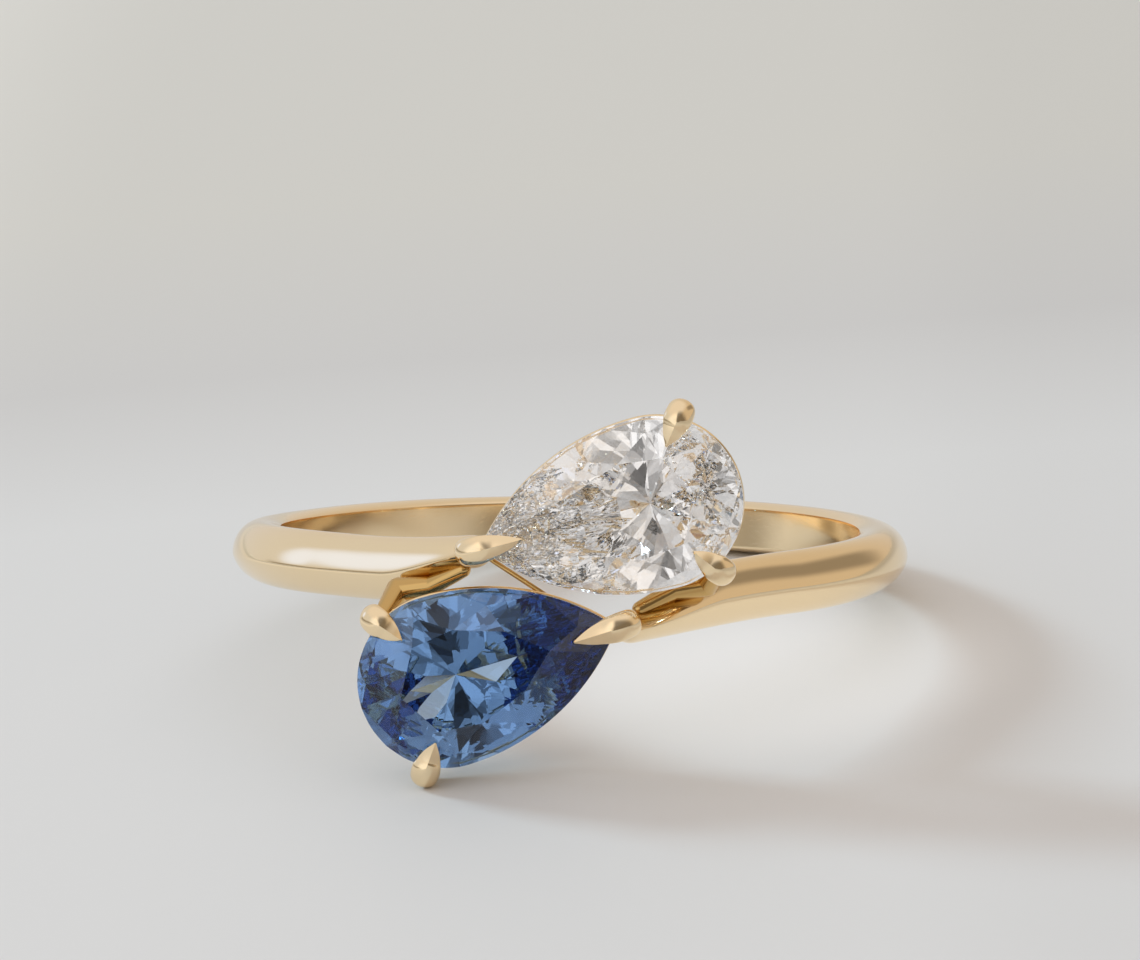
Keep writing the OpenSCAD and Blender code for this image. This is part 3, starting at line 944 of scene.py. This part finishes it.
class Cut:
    """The facets of one pear-cut stone, as the points where they meet."""

    def __init__(self, k, rows, bulge, keel):
        self.k = k
        self.rim = k.girdle / 2
        self.mains = [-k.claw_place, -FAR_MAIN, -NEAR_MAIN, 0, NEAR_MAIN, FAR_MAIN, k.claw_place, 2]
        self.rows, self.bulge, self.keel = rows, bulge, keel

    def place(self, i):
        return self.mains[i % 8] + 4 * (i // 8)

    def edge_point(self, i, h, rim, rise, share):
        """The point on the edge between main facets i and i + 1 that has a height h."""
        k = self.k
        sides = []
        for j in (i, i + 1):
            u = wrap(self.place(j))
            g, n = pear(k, u), pear_out(k, u)
            t = (h - rim) * (1 - share) / rise
            sides.append((n, g.dot(n) - t * (g - k.culet).dot(n)))
        (na, da), (nb, db) = sides
        det = na[0] * nb[1] - na[1] * nb[0]
        return Vector(((da * nb[1] - db * na[1]) / det, (db * na[0] - da * nb[0]) / det, h))

    def rim_points(self, a, b, m, rim):
        """Points along the girdle from place a to place b, on the plane through m and both ends."""
        pa, pb = (Vector((*pear(self.k, wrap(u)), rim)) for u in (a, b))
        n = (pb - pa).cross(m - pa)
        points = []
        for i in range(GIRDLE_STEPS + 1):
            x, y = pear(self.k, wrap(lerp(a, b, i / GIRDLE_STEPS)))
            points.append(Vector((x, y, pa[2] - (n[0] * (x - pa[0]) + n[1] * (y - pa[1])) / n[2])))
        return points

    def points(self):
        """All the points where facets meet, some of them twice."""
        k, rim = self.k, self.rim
        rise, fall = k.crown - rim, k.pavilion - rim
        out = []
        for i in range(8):
            g = pear(k, wrap(self.place(i)))
            table = k.culet + k.table * (g - k.culet)
            star = self.edge_point(i, rim + rise * STAR_SHARE, rim, rise, k.table)
            half = self.edge_point(i, -rim - fall * HALF_SHARE, -rim, -fall, 0)
            out += [Vector((table[0], table[1], k.crown)), star]
            a, b = self.place(i), self.place(i + 1)
            middle = (a + b) / 2
            for top, edge in ((star, rim), (half, -rim)):
                out += self.rim_points(a, middle, top, edge)
                out += self.rim_points(middle, b, top, edge)
        # rows of small facets below the girdle, each row turned half a step from the last
        for share, count, turn in self.rows:
            for i in range(count):
                u = wrap(-2 + 4 * (i + turn) / count)
                # between a pear shrunk to the culet and one set in evenly, which leaves a keel
                shrunk = k.culet + share * (pear(k, u) - k.culet)
                x, y = shrunk.lerp(pear(k, u, (1 - share) * k.head_r), self.keel)
                out.append(Vector((x, y, -rim - fall * (1 - share ** self.bulge))))
        return out + [Vector((k.culet[0] * (1 - self.keel), 0.0, -k.pavilion))]


def cut_stone(p, name, half, rows, bulge, keel, finish):
    """A stone with all its facets, which stands for the plainer stone of the same outline."""
    k = Sizes(p)
    bm = bmesh.new()
    for point in Cut(k, rows, bulge, keel).points():
        bm.verts.new(point)
    bmesh.ops.remove_doubles(bm, verts=bm.verts, dist=MERGE_WITHIN)
    hull = bmesh.ops.convex_hull(bm, input=bm.verts)
    spare = {v for v in hull["geom_interior"] + hull["geom_unused"] if isinstance(v, bmesh.types.BMVert)}
    bmesh.ops.delete(bm, geom=list(spare), context="VERTS")
    bm.transform(laid(p) @ at_stone(k, half))
    bmesh.ops.recalc_face_normals(bm, faces=bm.faces)
    mesh = bpy.data.meshes.new(name)
    bm.to_mesh(mesh)
    bm.free()
    mesh.materials.append(finish)
    stone = mesh_object("cut_" + name, mesh)
    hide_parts(name)
    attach(stone, "root")


class RING_OT_stones(bpy.types.Operator):
    """Cuts the two pear-shaped stones"""
    bl_idname = "ring.stones"
    bl_label = "Stones"

    def execute(self, context):
        p = props()
        cut_stone(p, "diamond", UP, DIAMOND_ROWS, DIAMOND_BULGE, DIAMOND_KEEL, cut_diamond(p))
        cut_stone(p, "sapphire", DOWN, SAPPHIRE_ROWS, SAPPHIRE_BULGE, SAPPHIRE_KEEL, cut_sapphire(p))
        return {"FINISHED"}


# The stage

# Painted light on the paper: tones of its bands, lighter at the front and darker and warmer at the back, as
# light falls on the paper, each with its place in metres from the ring, from the front to the back
FLOOR_PAINTED_LIGHT_BANDS = [(0.0, (1.045, 1.035, 1.03)), (0.016, (1.03, 1.025, 1.02)), (0.032, (0.89, 0.87, 0.855)),
               (0.055, (0.93, 0.90, 0.84)), (0.09, (0.925, 0.895, 0.835))]
# Where the bands start, how deep they are in all and how much they waver, and half the paper's width
FLOOR_FRONT, FLOOR_RUN, WAVER, FLOOR_HALF = -0.03, 0.12, 0.012, 1.2
# Painted light and shade to the left (-1) and right (1), lighter and then darker to the left, and darker to
# the right where the ring's shadow falls: the amount, where it starts, and over how far it goes
FLOOR_PAINTED_FALLOFF = ((-1, 0.2, 0.018, 0.02), (-1, -0.4, 0.045, 0.04), (1, -0.04, 0.008, 0.006),
                (1, -0.2, 0.017, 0.02))


def pale_floor(p):
    """A pale matt surface with a faint, slow change of tone, and painted light and shade: bands from the
    front to the back and a falloff to the sides.
    """
    made, build = material("Pale floor")
    place = build.add("ShaderNodeTexCoord").out("Object")
    slow = build.add("ShaderNodeTexNoise", None, {"Vector": place, "Scale": 9.0, "Detail": 1.0}).out(0)
    fine = build.add("ShaderNodeTexNoise", None, {"Vector": place, "Scale": 1800.0, "Detail": 2.0}).out(0)
    axes = build.add("ShaderNodeSeparateXYZ", None, {0: place})
    back = axes.out("Y") + WAVER * (slow - 0.5)
    # painted light: bands of tone from the front to the back
    stops = [((y - FLOOR_FRONT) / FLOOR_RUN, opaque(c * f for c, f in zip(p.place.floor_colour, tone)))
             for y, tone in FLOOR_PAINTED_LIGHT_BANDS]
    share = clamp((back - FLOOR_FRONT) / FLOOR_RUN)
    colour = build.add("ShaderNodeValToRGB", {"stops": stops}, {0: share}).out()
    # painted light and shade: the floor's level falls off to the left and right
    level = 1.0
    for way, amount, start, run in FLOOR_PAINTED_FALLOFF:
        level = level + amount * ease((way * axes.out("X") - start) / run)
    colour = build.add("ShaderNodeVectorMath", {"operation": "SCALE"}, {0: colour, "Scale": level}).out()
    bump = build.add("ShaderNodeBump", None, {"Strength": 0.05, "Distance": 0.0001, "Height": fine})
    shader = build.add("ShaderNodeBsdfPrincipled", None, {
        "Base Color": colour, "Roughness": 0.55, "Specular IOR Level": 0.3, "Normal": bump.out()})
    build.add("ShaderNodeOutputMaterial", None, {0: shader.out()})
    return made


def pale_paper(p):
    """The sheet that the ring lies on."""
    bm = bmesh.new()
    bmesh.ops.create_grid(bm, x_segments=1, y_segments=1, size=FLOOR_HALF)
    mesh = bpy.data.meshes.new("floor")
    bm.to_mesh(mesh)
    bm.free()
    mesh.materials.append(pale_floor(p))
    floor = mesh_object("floor", mesh)


# The room's colours: left, right and top, a dark curtain, a dark sill, a dark figure behind the camera,
# and the sky in the window over the sill
ROOM_LEFT, ROOM_RIGHT, ROOM_TOP = (0.78, 0.785, 0.80), (0.72, 0.61, 0.48), (0.92, 0.87, 0.84)
CURTAIN, SILL, FIGURE, SKY = (0.34, 0.29, 0.23), (0.36, 0.34, 0.31), (0.07, 0.065, 0.06), (0.99, 1.16, 1.62)
# How the walls' colour turns from left to right and then into the top's: rate and start of an ease curve
LEFT_TO_RIGHT, TO_TOP = (0.7, 0.5), (2.6, -1.4)
# What the stones see in place of the walls, and its share
STONES_ROOM, STONES_SHARE = (0.77, 0.765, 0.76), 0.7
# The curtain on the right slants down to the back: its middle, the way across it, half its height as a
# sine with the run over which it fades, and the angles from its middle at which it fades sideways
CURTAIN_WAY, CURTAIN_ACROSS = (0.824, 0.438, 0.358), (-0.548, 0.317, 0.774)
CURTAIN_HALF, CURTAIN_FADE, CURTAIN_ENDS = 0.22, 0.14, (16, 34)
# The sill and the window on the left, by their heights and places as sines
SILL_HEIGHT, SILL_HALF, SILL_FADE, SILL_FROM, SILL_RUN = 0.08, 0.085, 0.04, 0.78, 0.12
SKY_WAY, SKY_ENDS, SKY_FROM, SKY_RUN = (-0.843, 0.375, 0.385), (4, 14), 0.13, 0.2
# The figure: half its width and its height, with the runs over which they fade
FIGURE_HALF, FIGURE_FADE, FIGURE_TOP, FIGURE_TOP_FADE = 0.31, 0.17, 0.60, 0.25
# The cards that the stones see around the figure: their pattern in degrees, contrast and levels
CARDS_ACROSS, CARDS_UP, CARDS_CONTRAST, CARD_LEVELS = (640, 100), (520, 60), 1.2, (0.45, 1.45)
# The gold sees the room a little dimmer, and its front lighter on the left and darker on the right
GOLD_DIM, FRONT_LEVELS = 0.10, (0.42, -0.62)
FRONT_FROM, FRONT_RUN, TURN_FROM, TURN_RUN = 0.25, 0.3, -0.25, 0.35


def soft_room(p):
    """The light from all around, with what the polished gold and the stones reflect of it."""
    world = bpy.data.worlds.new("Soft room")
    world.use_nodes = True
    build = Tree(world.node_tree)
    way = build.add("ShaderNodeTexCoord").out("Generated")
    axes = build.add("ShaderNodeSeparateXYZ", None, {0: way})
    x, y, z = axes.out("X"), axes.out("Y"), axes.out("Z")

    def along(direction):
        """The cosine of the angle from a direction of the room."""
        unit = Vector(direction).normalized()
        return build.add("ShaderNodeVectorMath", {"operation": "DOT_PRODUCT"}, {0: way, 1: unit}).out("Value")

    def towards(direction, ends):
        """1 near a direction of the room, falling to 0 between two angles from it."""
        high, low = (math.cos(math.radians(angle)) for angle in ends)
        return ease((along(direction) - low) / (high - low))

    rays = build.add("ShaderNodeLightPath")
    stones = rays.out("Is Singular Ray")
    gold = rays.out("Is Glossy Ray") * (1 - stones)
    (rate, start), (top_rate, top_start) = LEFT_TO_RIGHT, TO_TOP
    colour = build.mix(ease(x * rate + start), opaque(ROOM_LEFT), opaque(ROOM_RIGHT))
    colour = build.mix(ease(z * top_rate + top_start), colour, opaque(ROOM_TOP))
    colour = build.mix(stones * STONES_SHARE, colour, opaque(STONES_ROOM))
    curtain = ease((CURTAIN_HALF - abs(along(CURTAIN_ACROSS))) / CURTAIN_FADE)
    colour = build.mix(curtain * towards(CURTAIN_WAY, CURTAIN_ENDS), colour, opaque(CURTAIN))
    sill = ease((SILL_HALF - abs(z - SILL_HEIGHT)) / SILL_FADE) * ease((-x - SILL_FROM) / SILL_RUN)
    colour = build.mix(sill, colour, opaque(SILL))
    sky = towards(SKY_WAY, SKY_ENDS) * ease((y - SKY_FROM) / SKY_RUN)
    colour = build.mix(sky, colour, opaque(SKY))
    # all but the gold sees the dark figure, and only the stones see cards and gaps around it
    figure = ease((FIGURE_HALF - abs(x)) / FIGURE_FADE) * ease((FIGURE_TOP - z) / FIGURE_TOP_FADE)
    colour = build.mix((y < 0) * figure * (1 - gold), colour, opaque(FIGURE))
    (across, across_start), (up, up_start) = CARDS_ACROSS, CARDS_UP
    cards = sine(x * across + across_start) * sine(z * up + up_start)
    cards = lerp(*CARD_LEVELS, ease(0.5 + CARDS_CONTRAST * cards))
    level = lerp(1.0, cards, stones * (y < 0))
    # the claws see the front of the room bright on the left and dark on the right
    ahead = ease((-y - FRONT_FROM) / FRONT_RUN)
    claws = lerp(*FRONT_LEVELS, ease((x - TURN_FROM) / TURN_RUN))
    level = level * (1 + gold * (ahead * claws - GOLD_DIM))
    colour = build.add("ShaderNodeVectorMath", {"operation": "SCALE"}, {0: colour, "Scale": level}).out()
    light = build.add("ShaderNodeBackground", None, {"Color": colour, "Strength": p.place.daylight})
    build.add("ShaderNodeOutputWorld", None, {0: light.out()})
    bpy.context.scene.world = world


# The window's soft light, from the left and behind
WINDOW_PLACE, WINDOW_AIM = (-1.08, 0.846, 0.6), (0, 0, 0.004)
WINDOW_SIZE, WINDOW_TINT = 0.26, (0.62, 0.85, 1.0)
# Light thrown down through the finger hole by the polished inside of the band
GLOW_AIM, GLOW_WAY, GLOW_DISTANCE = (0.0048, -0.0038, 0), (0.093, 0.196, 0.976), 0.3
GLOW_POWER, GLOW_TINT, GLOW_SPREAD = 0.85, (1.0, 0.98, 0.95), 3.2


def add_light(name, kind, place, aim, settings):
    """A lamp that shines from its place at its aim, and isn't itself reflected."""
    light = bpy.data.lights.new(name, kind)
    for key, value in settings.items():
        setattr(light, key, value)
    lamp = bpy.data.objects.new(name, light)
    bpy.context.scene.collection.objects.link(lamp)
    lamp.location = place
    lamp.rotation_euler = (aim - place).to_track_quat("-Z", "Y").to_euler()
    lamp.visible_glossy = False


def lamps(p):
    """The window's light, and the glow inside the ring."""
    add_light("window", "AREA", Vector(WINDOW_PLACE), Vector(WINDOW_AIM), {
        "shape": "RECTANGLE", "size": WINDOW_SIZE, "size_y": WINDOW_SIZE, "energy": p.place.window,
        "color": WINDOW_TINT})
    aim = Vector(GLOW_AIM)
    add_light("glow", "SPOT", aim + GLOW_DISTANCE * Vector(GLOW_WAY), aim, {
        "energy": GLOW_POWER, "color": GLOW_TINT, "spot_size": math.radians(GLOW_SPREAD), "spot_blend": 1.0,
        "use_shadow": False})


# The camera's sensor, how far its picture is shifted as a share of the width, and its nearest distance
SENSOR, PICTURE_SHIFT, CLIP_START = 36.0, 0.062, 0.005


def camera(p):
    """The camera, rolled a little so that the ring lies level in the picture."""
    place = p.place
    flat = math.cos(place.above)
    away = Vector((flat * math.sin(place.around), -flat * math.cos(place.around), math.sin(place.above)))
    turned = away.to_track_quat("Z", "Y").to_matrix().to_4x4()
    stand = laid(p) @ Matrix.Translation(away * place.eye / MM) @ turned
    view = bpy.data.cameras.new("camera")
    view.sensor_width, view.lens, view.shift_y = SENSOR, place.lens, PICTURE_SHIFT
    view.clip_start = CLIP_START
    eye = bpy.data.objects.new("camera", view)
    bpy.context.scene.collection.objects.link(eye)
    eye.matrix_world = Matrix.LocRotScale(stand.to_translation(), stand.to_quaternion(), None)
    bpy.context.scene.camera = eye


# Light runs through many reflections inside a cut stone: how often in all, and off or through surfaces
MOST_BOUNCES, STONE_BOUNCES = 24, 20


class RING_OT_stage(bpy.types.Operator):
    """Sets up the pale floor, the soft light and the camera"""
    bl_idname = "ring.stage"
    bl_label = "Stage"

    def execute(self, context):
        p = props()
        pale_paper(p)
        soft_room(p)
        lamps(p)
        camera(p)
        scene = context.scene
        scene.view_settings.view_transform = "Standard"
        scene.cycles.max_bounces = MOST_BOUNCES
        scene.cycles.glossy_bounces = STONE_BOUNCES
        scene.cycles.transmission_bounces = STONE_BOUNCES
        return {"FINISHED"}


class RING_PT_panel(bpy.types.Panel):
    """Lists the ring's sizes and the steps that make it"""
    bl_idname = "RING_PT_panel"
    bl_label = "Toi et moi ring"
    bl_space_type = "VIEW_3D"
    bl_region_type = "UI"
    bl_category = "Ring"

    def draw(self, context):
        layout = self.layout
        p = context.scene.toi_et_moi
        for step in STEPS:
            layout.operator(step.bl_idname)
        for part in (p.shank, p.stones, p.settings, p.place):
            box = layout.box()
            for key in part.bl_rna.properties.keys():
                if key not in ("rna_type", "name"):
                    box.prop(part, key)


STEPS = (RING_OT_stage, RING_OT_stones, RING_OT_shank, RING_OT_settings)
CLASSES = (RingShank, RingStones, RingSettings, RingPlace, RingProps) + STEPS + (RING_PT_panel,)


def register():
    for cls in CLASSES:
        bpy.utils.register_class(cls)
    bpy.types.Scene.toi_et_moi = PointerProperty(type=RingProps)


def unregister():
    del bpy.types.Scene.toi_et_moi
    for cls in reversed(CLASSES):
        bpy.utils.unregister_class(cls)


def main():
    register()
    bpy.ops.ring.stage()
    bpy.ops.ring.stones()
    bpy.ops.ring.shank()
    bpy.ops.ring.settings()


if __name__ == "__main__":
    main()
